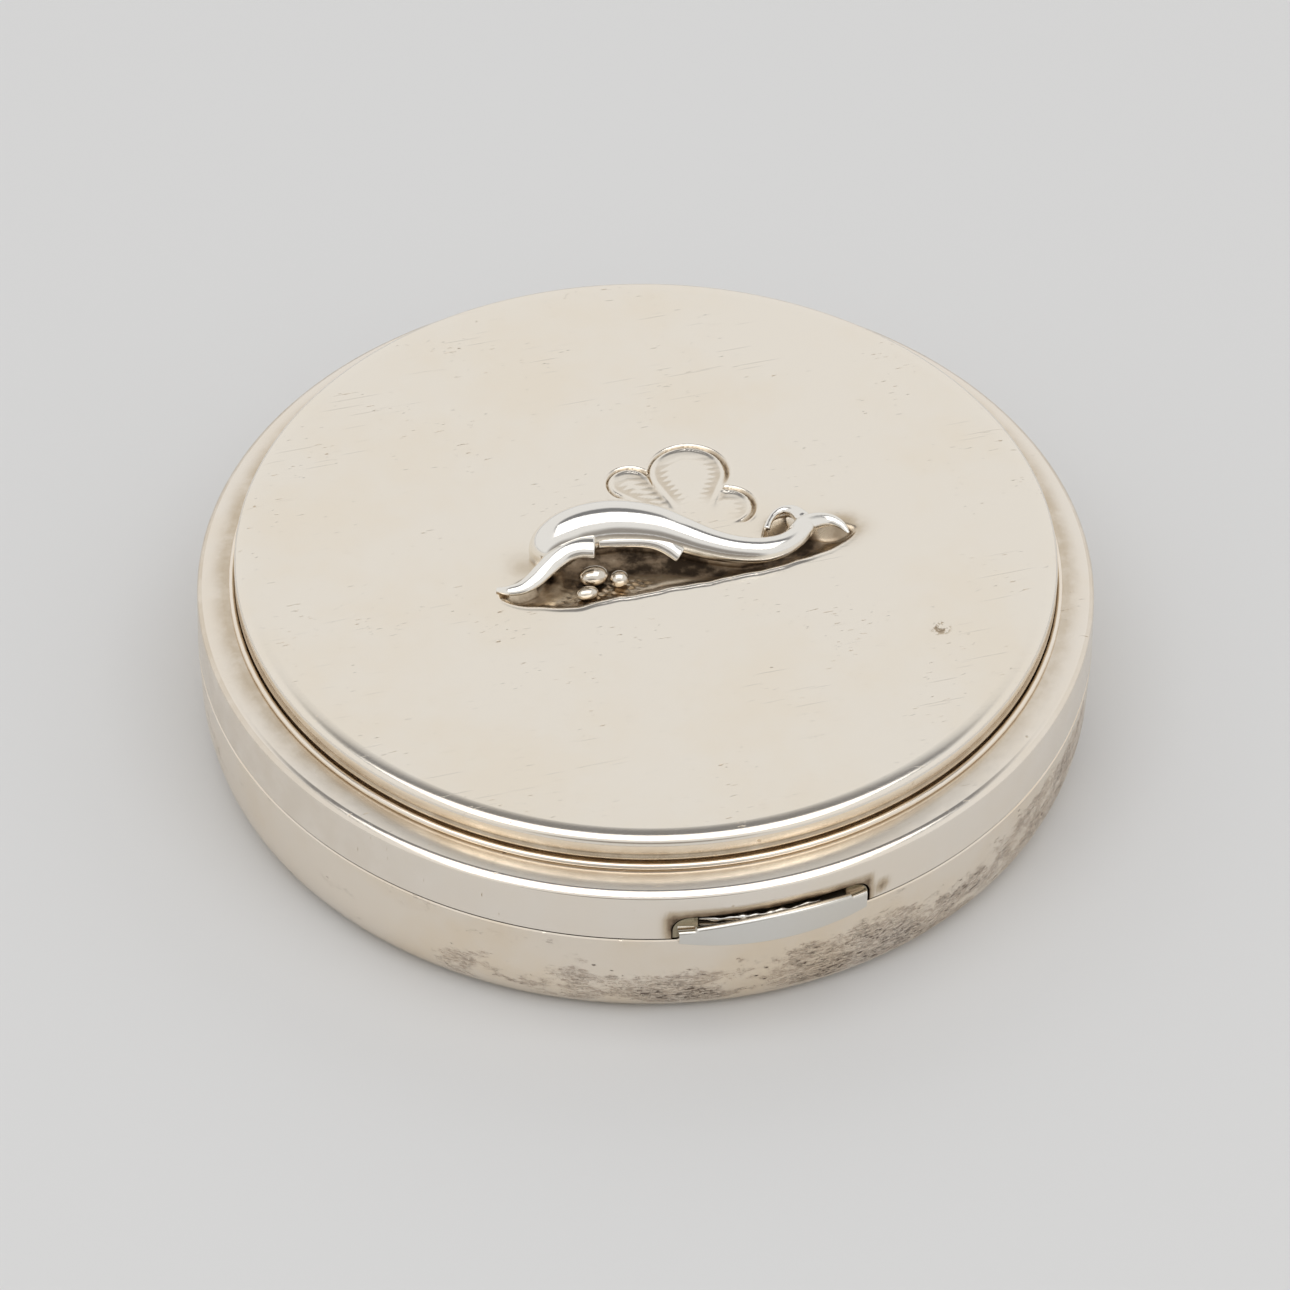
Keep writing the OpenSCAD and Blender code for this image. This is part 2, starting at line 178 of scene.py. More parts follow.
def cut(obj, cutters):
    """Takes the cutters out of obj and removes them."""
    for cutter in cutters:
        modifier = obj.modifiers.new("cut", "BOOLEAN")
        modifier.operation = "DIFFERENCE"
        modifier.solver = "EXACT"
        modifier.object = cutter
    bpy.context.view_layer.update()
    done = obj.evaluated_get(bpy.context.evaluated_depsgraph_get())
    mesh = bpy.data.meshes.new_from_object(done)
    obj.modifiers.clear()
    obj.data = mesh
    for cutter in cutters:
        bpy.data.objects.remove(cutter)
    tidy_mesh(obj)


def rod_x(name, x0, x1, y, z, radius, sides=48):
    """A cylinder along X, used as a cutter."""
    angles = np.linspace(0, 2 * math.pi, sides, endpoint=False)
    verts = [(x, y + radius * math.cos(t), z + radius * math.sin(t)) for x in (x0, x1) for t in angles]
    faces = [tuple(range(sides)), tuple(range(2 * sides - 1, sides - 1, -1))]
    faces += [(i, (i + 1) % sides, sides + (i + 1) % sides, sides + i) for i in range(sides)]
    return mesh_object(name, verts, faces)


def loft(name, rings, sharp=CREASE):
    """A closed solid through equally long rings of points, with flat ends."""
    n = len(rings[0])
    verts = [p for ring in rings for p in ring]
    faces = [tuple(range(n)), tuple(range(len(verts) - 1, len(verts) - 1 - n, -1))]
    for s in range(len(rings) - 1):
        for i in range(n):
            j = (i + 1) % n
            faces.append((s * n + i, s * n + j, (s + 1) * n + j, (s + 1) * n + i))
    return mesh_object(name, verts, faces, sharp)


def paint(obj, name, values):
    """Stores one number per vertex for a material to read."""
    attribute = obj.data.attributes.new(name, "FLOAT", "POINT")
    attribute.data.foreach_set("value", np.asarray(values, np.float32))


def coords(obj):
    """The vertices' places as an array of x, y, z."""
    flat = np.zeros(len(obj.data.vertices) * 3)
    obj.data.vertices.foreach_get("co", flat)
    return flat.reshape(-1, 3)


def smooth_step(low, high, value):
    """0 at low, 1 at high, with a soft start and end."""
    t = np.clip((value - low) / (high - low), 0, 1)
    return t * t * (3 - 2 * t)


def mound(x, y, centre, size):
    """1 at the centre, fading softly to 0 past the two half widths."""
    return np.exp(-((x - centre[0]) / size[0]) ** 2 - ((y - centre[1]) / size[1]) ** 2)


def object_from(name, bm):
    """An object with the bmesh as its mesh."""
    mesh = bpy.data.meshes.new(name)
    bm.to_mesh(mesh)
    bm.free()
    obj = bpy.data.objects.new(name, mesh)
    bpy.context.scene.collection.objects.link(obj)
    return obj


# ---------- materials ----------

class Shader:
    """A node material with a Principled shader and short calls for the usual nodes.

    Texture scales are per metre.
    """

    def __init__(self, name):
        self.material = bpy.data.materials.new(name)
        self.material.use_nodes = True
        self.tree = self.material.node_tree
        self.tree.nodes.clear()
        self.output = self.tree.nodes.new("ShaderNodeOutputMaterial")
        self.principled = self.tree.nodes.new("ShaderNodeBsdfPrincipled")
        self.link(self.principled.outputs[0], self.output.inputs[0])
        self.place = self.tree.nodes.new("ShaderNodeTexCoord").outputs["Object"]

    def link(self, source, target):
        self.tree.links.new(source, target)

    def feed(self, socket, value):
        if isinstance(value, bpy.types.NodeSocket):
            self.link(value, socket)
        else:
            socket.default_value = value

    def stretched(self, scale):
        node = self.tree.nodes.new("ShaderNodeMapping")
        node.inputs["Scale"].default_value = scale
        self.link(self.place, node.inputs["Vector"])
        return node.outputs["Vector"]

    def noise(self, scale, detail=4, rough=0.5, where=None, distortion=0):
        node = self.tree.nodes.new("ShaderNodeTexNoise")
        node.inputs["Scale"].default_value = scale
        node.inputs["Detail"].default_value = detail
        node.inputs["Roughness"].default_value = rough
        node.inputs["Distortion"].default_value = distortion
        self.link(where or self.place, node.inputs["Vector"])
        return node.outputs["Fac"]

    def cells(self, scale, where=None):
        node = self.tree.nodes.new("ShaderNodeTexVoronoi")
        node.inputs["Scale"].default_value = scale
        self.link(where or self.place, node.inputs["Vector"])
        return node.outputs["Distance"]

    def span(self, value, low, high, to_low=0.0, to_high=1.0):
        node = self.tree.nodes.new("ShaderNodeMapRange")
        node.interpolation_type = "SMOOTHSTEP"
        for socket, number in zip(node.inputs, (value, low, high, to_low, to_high)):
            self.feed(socket, number)
        return node.outputs["Result"]

    def scratches(self, along, across, turn, low, high):
        """Sparse fine lines turned by so many degrees; along and across are texture scales."""
        node = self.tree.nodes.new("ShaderNodeMapping")
        node.inputs["Rotation"].default_value = (0, 0, math.radians(turn))
        node.inputs["Scale"].default_value = (along, across, along)
        self.link(self.place, node.inputs["Vector"])
        return self.span(self.noise(1.0, 1, 0.5, node.outputs["Vector"]), low, high)

    def spot(self, x, y, radius):
        """1 at a place on the lid's top, fading to 0 at the radius."""
        node = self.tree.nodes.new("ShaderNodeVectorMath")
        node.operation = "DISTANCE"
        self.link(self.place, node.inputs[0])
        node.inputs[1].default_value = (x, y, LID_TOP)
        return self.span(node.outputs["Value"], radius, radius * 0.3)

    def math(self, operation, a, b=0.0):
        node = self.tree.nodes.new("ShaderNodeMath")
        node.operation = operation
        self.feed(node.inputs[0], a)
        self.feed(node.inputs[1], b)
        return node.outputs[0]

    def mix(self, share, a, b):
        node = self.tree.nodes.new("ShaderNodeMix")
        node.data_type = "RGBA"
        self.feed(node.inputs["Factor"], share)
        for socket, colour in ((node.inputs[6], a), (node.inputs[7], b)):
            self.feed(socket, (*colour, 1) if isinstance(colour, tuple) else colour)
        return node.outputs[2]

    def attribute(self, name):
        node = self.tree.nodes.new("ShaderNodeAttribute")
        node.attribute_name = name
        return node.outputs["Fac"]

    def crevice(self, distance):
        """1 deep in a corner, 0 in the open."""
        node = self.tree.nodes.new("ShaderNodeAmbientOcclusion")
        node.samples = 8
        node.inputs["Distance"].default_value = distance
        return self.math("SUBTRACT", 1.0, node.outputs["AO"])

    def bump(self, height, strength, distance, below=None):
        node = self.tree.nodes.new("ShaderNodeBump")
        node.inputs["Strength"].default_value = strength
        node.inputs["Distance"].default_value = distance
        self.link(height, node.inputs["Height"])
        if below is not None:
            self.link(below, node.inputs["Normal"])
        return node.outputs["Normal"]

    def finish(self, colour, roughness, normal, metallic=1.0):
        self.feed(self.principled.inputs["Base Color"], colour)
        self.feed(self.principled.inputs["Roughness"], roughness)
        self.principled.inputs["Metallic"].default_value = metallic
        if normal is not None:
            self.link(normal, self.principled.inputs["Normal"])
        return self.material


TAN = (0.62, 0.515, 0.385)
BROWN = (0.29, 0.215, 0.145)
UMBER = (0.055, 0.038, 0.025)
RUST = (0.27, 0.175, 0.125)
PIT_BROWN = (0.085, 0.055, 0.038)


def tarnished(s, colour, mask):
    """The colour under tarnish and painted shade of the given strength: tan, then brown, then nearly black.
    """
    colour = s.mix(s.span(mask, 0.0, 0.40), colour, TAN)
    colour = s.mix(s.span(mask, 0.35, 0.75), colour, BROWN)
    return s.mix(s.span(mask, 0.72, 1.0), colour, UMBER)


def silver(name, tint, rough, patina=0.0, crevice_tarnish_and_shade=0.0, grain=0.15, brushed=(60, 900, 60), blotch=0.25,
           marks=None):
    """Silver with cloudy tone, fine brushing, tiny pits, and tarnish where painted or sheltered; the
    darkening where sheltered is painted shade as well.
    """
    s = Shader(name)
    cloud = s.noise(110, 5, 0.6)
    streak = s.noise(40, 6, 0.7, s.stretched(brushed))
    warm = tuple(c * k for c, k in zip(tint, (0.985, 0.945, 0.88)))
    colour = s.mix(s.span(cloud, 0.40, 0.68, 0.0, blotch * 2), tint, warm)
    roughness = s.span(streak, 0.3, 0.7, rough * 0.85, rough * 1.2)
    mask = s.math("MULTIPLY", s.span(s.cells(420), 0.085, 0.0), s.span(s.noise(260, 2), 0.60, 0.66))
    if marks:
        mask = s.math("MAXIMUM", mask, marks(s))
    pits = mask
    # On the lid's plate the painted attribute also holds painted shade under the dolphin.
    if patina:
        uneven = s.span(s.noise(520, 5, 0.65), 0.25, 0.65, 0.55, 1.0)
        painted = s.math("MULTIPLY", s.attribute("patina"), uneven)
        mask = s.math("MAXIMUM", mask, s.math("MULTIPLY", painted, patina))
    # Painted shade with tarnish: ambient occlusion darkens corners, hollows and contacts, where tarnish
    # gathers and where shade falls.
    if crevice_tarnish_and_shade:
        hollow = s.span(s.crevice(0.9 * MM), 0.35, 0.95, 0.0, crevice_tarnish_and_shade)
        mask = s.math("MAXIMUM", mask, hollow)
    colour = tarnished(s, colour, mask)
    roughness = s.math("ADD", roughness, s.math("MULTIPLY", mask, 0.26))
    normal = s.bump(streak, grain, 0.010 * MM)
    normal = s.bump(s.noise(300, 3, 0.5), grain * 0.8, 0.03 * MM, normal)
    normal = s.bump(s.math("SUBTRACT", 1.0, pits), 0.5, 0.03 * MM, normal)
    return s.finish(colour, roughness, normal)


SCUFF_AT = (13.7 * MM, -10.6 * MM)
SCUFF_R = 0.75 * MM


def lid_marks(s):
    """Handling wear on the lid's flat top: ticks, hairline scratches and one scuffed spot."""
    ticks = s.math("MAXIMUM", s.scratches(1500, 9000, 8, 0.735, 0.79),
                   s.scratches(1500, 9000, -64, 0.75, 0.81))
    ticks = s.math("MULTIPLY", ticks, s.span(s.noise(190, 3), 0.48, 0.62, 0.06, 0.45))
    hairs = s.math("MULTIPLY", s.scratches(180, 11000, 3, 0.70, 0.76),
                   s.span(s.noise(90, 2), 0.5, 0.6, 0.0, 0.14))
    scuff = s.math("MULTIPLY", s.spot(*SCUFF_AT, SCUFF_R), s.span(s.noise(3400, 3, 0.6), 0.46, 0.60))
    return s.math("MAXIMUM", s.math("MAXIMUM", ticks, hairs), s.math("MULTIPLY", scuff, 0.6))


def rim_marks(s):
    """Short scratches on the rim."""
    ticks = s.scratches(1200, 9000, 0, 0.72, 0.80)
    return s.math("MULTIPLY", ticks, s.span(s.noise(170, 3), 0.5, 0.64, 0.05, 0.6))


def pitted_silver(name, tint, rough):
    """Wall silver with brown, crumbly corrosion patches and pits where the wear attribute says."""
    s = Shader(name)
    cloud = s.noise(140, 5, 0.6)
    streak = s.noise(60, 6, 0.7, s.stretched((1, 1, 12)))
    warm = tuple(c * k for c, k in zip(tint, (0.97, 0.92, 0.84)))
    colour = s.mix(s.span(cloud, 0.35, 0.7), tint, warm)
    wear = s.attribute("wear")
    level = s.stretched((1, 1, 1.9))
    fine = s.stretched((1, 1, 3.2))
    edge = s.math("ADD", s.noise(230, 9, 0.72, level), s.math("MULTIPLY", wear, 0.16))
    patch = s.math("MULTIPLY", s.span(edge, 0.595, 0.66), s.span(wear, 0.02, 0.25))
    grit = s.span(s.noise(3000, 4, 0.65, fine), 0.40, 0.62)
    wander = s.math("ABSOLUTE", s.math("SUBTRACT", s.noise(1150, 4, 0.62, fine), 0.5))
    cracks = s.math("MULTIPLY", s.span(wander, 0.020, 0.004), s.span(edge, 0.60, 0.70))
    cracks = s.math("MULTIPLY", cracks, s.span(s.noise(500, 2, 0.5, level), 0.45, 0.56))
    core = s.math("MULTIPLY", s.span(edge, 0.66, 0.74), s.span(s.noise(1900, 5, 0.7, fine), 0.52, 0.60))
    core = s.math("MAXIMUM", cracks, s.math("MULTIPLY", core, s.span(wear, 0.05, 0.4)))
    flecks = s.span(s.cells(1000, level), 0.17, 0.05)
    flecks = s.math("MULTIPLY", flecks, s.span(s.noise(420, 3), 0.52, 0.60))
    flecks = s.math("MULTIPLY", flecks, s.span(wear, 0.0, 0.5, 0.25, 0.9))
    film = s.math("MULTIPLY", patch, s.math("ADD", 0.14, s.math("MULTIPLY", grit, 0.40)))
    pit = s.math("MAXIMUM", core, flecks)
    colour = s.mix(film, colour, RUST)
    colour = s.mix(s.math("MULTIPLY", pit, 0.85), colour, PIT_BROWN)
    roughness = s.span(streak, 0.3, 0.7, rough * 0.85, rough * 1.2)
    roughness = s.math("ADD", roughness, s.math("MULTIPLY", s.math("MAXIMUM", film, pit), 0.30))
    normal = s.bump(streak, 0.12, 0.01 * MM)
    normal = s.bump(s.noise(260, 3), 0.25, 0.03 * MM, normal)
    rot = s.math("ADD", pit, s.math("MULTIPLY", film, 0.5))
    normal = s.bump(s.math("SUBTRACT", 1.0, rot), 0.7, 0.05 * MM, normal)
    return s.finish(colour, roughness, normal)


PLATE_SILVER = silver("plate_silver", (0.915, 0.855, 0.765), 0.17, patina=1.0, grain=0.05,
                      brushed=(30, 700, 30), marks=lid_marks)
RELIEF_SILVER = silver("relief_silver", (0.90, 0.875, 0.83), 0.13, crevice_tarnish_and_shade=0.7, grain=0.05, blotch=0.1)
BEAD_SILVER = silver("bead_silver", (0.74, 0.68, 0.60), 0.16, crevice_tarnish_and_shade=0.7, grain=0.05, blotch=0.3)
DISH_SILVER = silver("field_silver", (0.45, 0.38, 0.30), 0.42, crevice_tarnish_and_shade=0.6)
LEDGE_SILVER = silver("rim_silver", (0.895, 0.83, 0.745), 0.15, patina=1.0, grain=0.10,
                      brushed=(30, 30, 500), marks=rim_marks)
WALL_SILVER = pitted_silver("wall_silver", (0.87, 0.79, 0.685), 0.19)
WIRE_SILVER = silver("wire_silver", (0.95, 0.865, 0.76), 0.12, crevice_tarnish_and_shade=0.5)
BAR_SILVER = silver("bar_silver", (0.74, 0.725, 0.69), 0.17, crevice_tarnish_and_shade=0.5, grain=0.08)
CARRIER_SILVER = silver("carrier_silver", (0.34, 0.30, 0.215), 0.30, crevice_tarnish_and_shade=0.9)
HINGE_SILVER = silver("hinge_silver", (0.88, 0.82, 0.74), 0.20, crevice_tarnish_and_shade=0.6)
INNER_SILVER = silver("inner_silver", (0.86, 0.80, 0.71), 0.34, crevice_tarnish_and_shade=0.3, grain=0.25)
SPRING_METAL = silver("spring_metal", (0.46, 0.42, 0.36), 0.35, crevice_tarnish_and_shade=0.4)


def dress(obj, material, body, slot, *replaced):
    """Gives a new piece its material and body and hides the CAD nodes that it stands for; slot is not used.
    """
    obj.data.materials.clear()
    obj.data.materials.append(material)
    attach(obj, body)
    if replaced:
        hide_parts(*replaced)


def dress_node(name, material):
    """Gives a CAD node a material and smooth shading with crisp creases."""
    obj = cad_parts[name]
    obj.data.materials.clear()
    obj.data.materials.append(material)
    for polygon in obj.data.polygons:
        polygon.use_smooth = True
        polygon.material_index = 0
    obj.data.set_sharp_from_angle(angle=math.radians(30))


# ---------- base ----------

KNUCKLES = 5
KNUCKLE_GAP = 0.08 * MM
GROOVE_ROOM = 0.1 * MM          # room round the other body's knuckles


def hinge_cutters(first_own):
    """Rods that cut the knuckle grooves: a body's own knuckles fill theirs, the other body's have room."""
    length = (2 * HINGE_HALF - (KNUCKLES - 1) * KNUCKLE_GAP) / KNUCKLES
    rods = []
    for i in range(KNUCKLES):
        room = 0.0 if i % 2 == first_own else GROOVE_ROOM
        x0 = -HINGE_HALF + i * (length + KNUCKLE_GAP) - KNUCKLE_GAP / 2
        rods.append(rod_x("cutter", x0, x0 + length + KNUCKLE_GAP, BODY_R, HINGE_Z, KNUCKLE_R + room))
    return rods


# Corrosion on the pan's wall: angles are in degrees round from the catch, 90 towards +X.
SCARS_START = (-54, -20)
SCARS_END = (62, 85)
SCARS_CLIMB = (20, 55)          # between these angles their top rises from the first height by the second
SCARS_TOP = 4.4 * MM
SCARS_RISE = 1.9 * MM


def base_wear(p):
    """How corroded the pan is: scarred low on the outside round the front, and a little elsewhere."""
    angle = np.degrees(np.arctan2(p[:, 0], -p[:, 1]))
    side = smooth_step(*SCARS_START, angle) * (1 - smooth_step(*SCARS_END, angle))
    top = SCARS_TOP + SCARS_RISE * smooth_step(*SCARS_CLIMB, angle)
    low = 1 - smooth_step(top - 1.2 * MM, top, p[:, 2])
    low *= smooth_step(0.0, 0.9 * MM, p[:, 2])
    outside = np.hypot(p[:, 0], p[:, 1]) > BODY_R - WALL * 0.6
    return (0.10 + 0.90 * side * low) * outside * (p[:, 2] > 0.2 * MM)


def make_base():
    outer = quarter((BODY_R - DRAFT - CORNER_W, CORNER_H), CORNER_W, CORNER_H, -90, 0, 20)
    inner_r = BODY_R - WALL
    inner = quarter((inner_r - DRAFT - CORNER_W, CORNER_H), CORNER_W, CORNER_H - WALL, 0, -90, 14)
    profile = [(0.0, 0.0)] + outer
    profile += [(BODY_R, BASE_TOP - SEAM_LIP), (BODY_R - SEAM_LIP, BASE_TOP), (inner_r, BASE_TOP),
                (inner_r, BASE_TOP - 0.8 * MM)]
    profile += inner + [(0.0, WALL)]
    profile = [p for i, p in enumerate(profile) if i == 0 or math.dist(p, profile[i - 1]) > CLOSE]
    obj = revolved_cup("base_pan", profile)
    cut(obj, hinge_cutters(0))
    paint(obj, "wear", base_wear(coords(obj)))
    dress(obj, WALL_SILVER, "base", "body_silver", "base_shell")


# ---------- lid rim ----------

NOTCH_HALF = CARRIER_HI.x + 0.1 * MM
NOTCH_TOP = CARRIER_HI.z + 0.1 * MM
NOTCH_ROUND = 0.9 * MM


def notch_cutter():
    """Round-cornered slot for the push-piece, cut through the front of the rim."""
    side = NOTCH_HALF - NOTCH_ROUND
    top = NOTCH_TOP - NOTCH_ROUND
    outline = [(NOTCH_HALF, LID_BOTTOM - MM)]
    outline += quarter((side, top), NOTCH_ROUND, NOTCH_ROUND, 0, 90, 12)
    outline += quarter((-side, top), NOTCH_ROUND, NOTCH_ROUND, 90, 180, 12)
    outline += [(-NOTCH_HALF, LID_BOTTOM - MM)]
    depths = (-BODY_R - 2 * MM, -BODY_R + 4 * MM)
    return loft("cutter", [[(x, y, z) for x, z in outline] for y in depths])


def rounded_edge(start, arcs, steps=7):
    """Profile that leaves flat ground at start and tips over; arcs are (length in mm, tilt at its end)."""
    r, z = start
    points = []
    tilt = 0.0
    for length, end in arcs:
        for i in range(steps):
            angle = math.radians(tilt + (end - tilt) * (i + 0.5) / steps)
            r += length * MM * math.cos(angle) / steps
            z -= length * MM * math.sin(angle) / steps
            points.append((r, z))
        tilt = end
    return points


def rounded_width(arcs):
    """How far out such a profile reaches, in metres."""
    return rounded_edge((0, 0), arcs)[-1][0]


FRONT_CLEAN_WIDTH = math.radians(60)         # the rim's tarnish is lighter this far to either side of the catch
SMUDGE_AT = (NOTCH_HALF + 0.75 * MM, LID_BOTTOM + 0.75 * MM)
SMUDGE_SIZE = (0.35 * MM, 0.25 * MM)


def rim_patina(p):
    """How tarnished the rim is: the ledge near the platform, the back of the wall, and round the notch."""
    radius = np.hypot(p[:, 0], p[:, 1])
    front = p[:, 1] < 0
    # The rim's tarnish is made lighter towards the catch, at the front.
    front_clean = np.exp(-(np.arctan2(p[:, 0], -p[:, 1]) / FRONT_CLEAN_WIDTH) ** 2)
    near_platform = 1 - smooth_step(PLATFORM_R + 0.6 * MM, PLATFORM_R + 1.7 * MM, radius)
    on_ledge = (p[:, 2] > LEDGE_Z - LEDGE_FALL * 1.2) * near_platform * (1 - 0.7 * front_clean)
    on_wall = (p[:, 2] < LEDGE_Z - LEDGE_FALL * 1.5) * (radius > SKIRT_R + 0.2 * MM) * (1 - front_clean)
    past_side = np.maximum(np.abs(p[:, 0]) - NOTCH_HALF, 0)
    past_top = np.maximum(p[:, 2] - NOTCH_TOP, 0)
    reach = (0.17 + 0.14 * (p[:, 0] < -NOTCH_HALF * 0.5)) * MM
    near_notch = np.exp(-(np.hypot(past_side, past_top) / reach) ** 1.3) * front
    smudge = mound(p[:, 0], p[:, 2], SMUDGE_AT, SMUDGE_SIZE) * front
    return np.clip(0.34 * on_ledge + 0.22 * on_wall + 1.0 * near_notch + 0.9 * smudge, 0, 1)


def make_rim():
    edge_start = (BODY_R - DRAFT - rounded_width(RIM_ARCS), LEDGE_Z - LEDGE_FALL)
    profile = [(SKIRT_R, LID_BOTTOM), (BODY_R - SEAM_LIP, LID_BOTTOM), (BODY_R, LID_BOTTOM + SEAM_LIP)]
    profile += list(reversed(rounded_edge(edge_start, RIM_ARCS)))
    profile += [(PLATFORM_R + 0.2 * MM, LEDGE_Z), (FLANGE_R, LEDGE_Z), (FLANGE_R, LEDGE_Z - FLANGE_T),
                (SKIRT_R, LEDGE_Z - FLANGE_T)]
    obj = lathe("lid_rim_ring", subdivided(profile, 0.7 * MM))
    cut(obj, [notch_cutter()] + hinge_cutters(1))
    paint(obj, "patina", rim_patina(coords(obj)))
    dress(obj, LEDGE_SILVER, "lid", "body_silver", "lid_rim")


# ---------- lid plate: flat top with the sunken field and the chased fan ----------

# The sunken field and the fan, in mm on the lid's top.
FIELD_X = 1.4
FIELD_Y = -1.4
FIELD_HALF = 10.4
FIELD_FRONT = 2.2
FIELD_DEPTH = 0.92
FIELD_LIP = 1.6                 # the hollow reaches its full depth this far behind its front edge
FIELD_BACK = 1.1                # and this far before its back edge
BACK_EDGE = (
    (-9.1, -1.7), (-8.0, -1.1), (-6.6, -0.4), (-5.6, 0.9), (-3.6, 2.0), (-1.0, 1.8), (1.0, 1.0),
    (3.0, -0.3), (5.0, -1.3), (6.2, -1.3), (6.9, 0.2), (8.2, 0.5), (9.3, 0.0), (10.6, -0.7), (11.8, -1.5))
SNOUT_POWER = 5
TAIL_POWER = 3
BEDDING = ((-3.2, -1.8), (1.9, 1.0))            # rough ground round the beads: centre and half widths
STAINS = (                                      # centre, half widths and strength
    ((10.6, -1.4), (1.5, 1.1), 0.62),
    ((7.6, -0.5), (0.9, 0.8), 0.72),
    ((-6.9, 0.1), (1.3, 1.3), 0.24))

# The fan's petals: x, y and radius of the root that they share and of their tips.
FAN_ROOT = (3.2, 0.9, 0.5)
FAN_CENTRE = (3.9, 5.2, 2.2)
FAN_LEFT = (0.5, 5.2, 1.25)
FAN_RIGHT = (5.25, 1.95, 1.5)


def field_edges(x):
    """The y of the front and back edges of the sunken field, in mm."""
    u = np.clip(np.abs(x - FIELD_X) / FIELD_HALF, 0, 1)
    span = np.sqrt(1 - u ** np.where(x < FIELD_X, SNOUT_POWER, TAIL_POWER))
    bulge = 0.2 * np.exp(-((x + 5.2) / 1.3) ** 2)
    ripple = (0.04 * np.sin(1.7 * x + 0.6) + 0.02 * np.sin(4.3 * x)) * span
    back = np.interp(x, *np.array(BACK_EDGE).T)
    return FIELD_Y - FIELD_FRONT * span - bulge * span + ripple, back


def path_distance(x, y, rows):
    """Distance in plan from the outline of a swept form; negative under it."""
    path = curve_points(rows, 4)
    nearest = np.full(x.shape, 99.0)
    for px, py, _, half, _ in path:
        nearest = np.minimum(nearest, np.hypot(x - px, y - py) - half)
    return nearest


def lobe_distance(x, y, lobe):
    """Signed distance from a petal, the hull of its root and tip circles, and the way past its tip."""
    ax, ay = lobe[0] - FAN_ROOT[0], lobe[1] - FAN_ROOT[1]
    height = math.hypot(ax, ay)
    ux, uy = ax / height, ay / height
    along = (x - FAN_ROOT[0]) * ux + (y - FAN_ROOT[1]) * uy
    across = np.abs((x - FAN_ROOT[0]) * uy - (y - FAN_ROOT[1]) * ux)
    b = (FAN_ROOT[2] - lobe[2]) / height
    a = math.sqrt(1 - b * b)
    k = -b * across + a * along
    near_root = np.hypot(across, along) - FAN_ROOT[2]
    near_tip = np.hypot(across, along - height) - lobe[2]
    between = a * across + b * along - FAN_ROOT[2]
    return np.where(k < 0, near_root, np.where(k > a * height, near_tip, between)), along - height


def petal(x, y, lobe):
    """One petal: a chased line round its tip, thick on the right, soft side ridges and a hatched dish."""
    d, past = lobe_distance(x, y, lobe)
    fade = smooth_step(1.4, 3.0, np.hypot(x - FAN_ROOT[0], y - FAN_ROOT[1]))
    tip = smooth_step(-0.75, -0.05, past / lobe[2])
    weight = smooth_step(-1.3, 1.2, (x - lobe[0]) / lobe[2])
    width = 0.06 + 0.07 * weight
    line = np.exp(-(d / width) ** 2) * tip
    lip = (0.03 + 0.05 * weight) * np.exp(-((d + 0.20) / 0.10) ** 2) * tip
    outer_lip = 0.06 * weight * np.exp(-((d - 0.20) / 0.10) ** 2) * tip
    ridge = 0.09 * np.exp(-((d + 0.05) / 0.22) ** 2) * (1 - tip)
    dish = -0.03 * smooth_step(0.25, 0.9, -d)
    teeth = 0.5 + 0.5 * np.sin(2 * np.pi * (y + 0.3 * np.abs(x - lobe[0])) / 0.42)
    band = smooth_step(0.28, 0.42, -d) * (1 - smooth_step(0.55 + 0.45 * teeth, 0.75 + 0.45 * teeth, -d))
    band *= 1 - 0.75 * smooth_step(0.1, 0.8, past / lobe[2])
    height = (lip + outer_lip + ridge + dish - 0.14 * line - 0.01 * band * teeth) * fade
    return d, height, np.maximum((0.62 + 0.22 * weight) * line, 0.24 * band) * fade


def fan(x, y):
    """Height and stain of the three petals; the centre one lies over the other two."""
    outside_centre, height, stain = petal(x, y, FAN_CENTRE)
    shown = smooth_step(-0.02, 0.12, outside_centre)
    for lobe in (FAN_LEFT, FAN_RIGHT):
        _, side_height, side_stain = petal(x, y, lobe)
        height = height + side_height * shown
        stain = np.maximum(stain, side_stain * shown)
    return height, stain


def field_patina_and_shade(x, y, depth, bedding):
    """How tarnished the field is, its floor and a few spots round it, with painted shade close under the
    dolphin.
    """
    under = path_distance(x, y, BODY_ROWS)
    under_snout = path_distance(x, y, SNOUT_ROWS)
    # Painted shade: close under the dolphin's body and snout the field is darkened, standing in for their
    # shade and their dark undersides reflected in the floor.
    shade = np.maximum(1 - smooth_step(-0.2, 0.7, under), 0.85 * (1 - smooth_step(-0.2, 0.55, under_snout)))
    patina = 0.32 * smooth_step(0.40, 0.92, depth) + 0.68 * shade * smooth_step(0.1, 0.6, depth)
    patina += 0.15 * bedding
    for centre, size, strength in STAINS:
        patina = np.maximum(patina, strength * mound(x, y, centre, size))
    # Darker close round the body towards its tail.
    back_halo = (1 - smooth_step(0.0, 1.1, under)) * smooth_step(-1.0, 4.0, x) * (y > -3)
    return np.maximum(patina, 0.30 * back_halo)


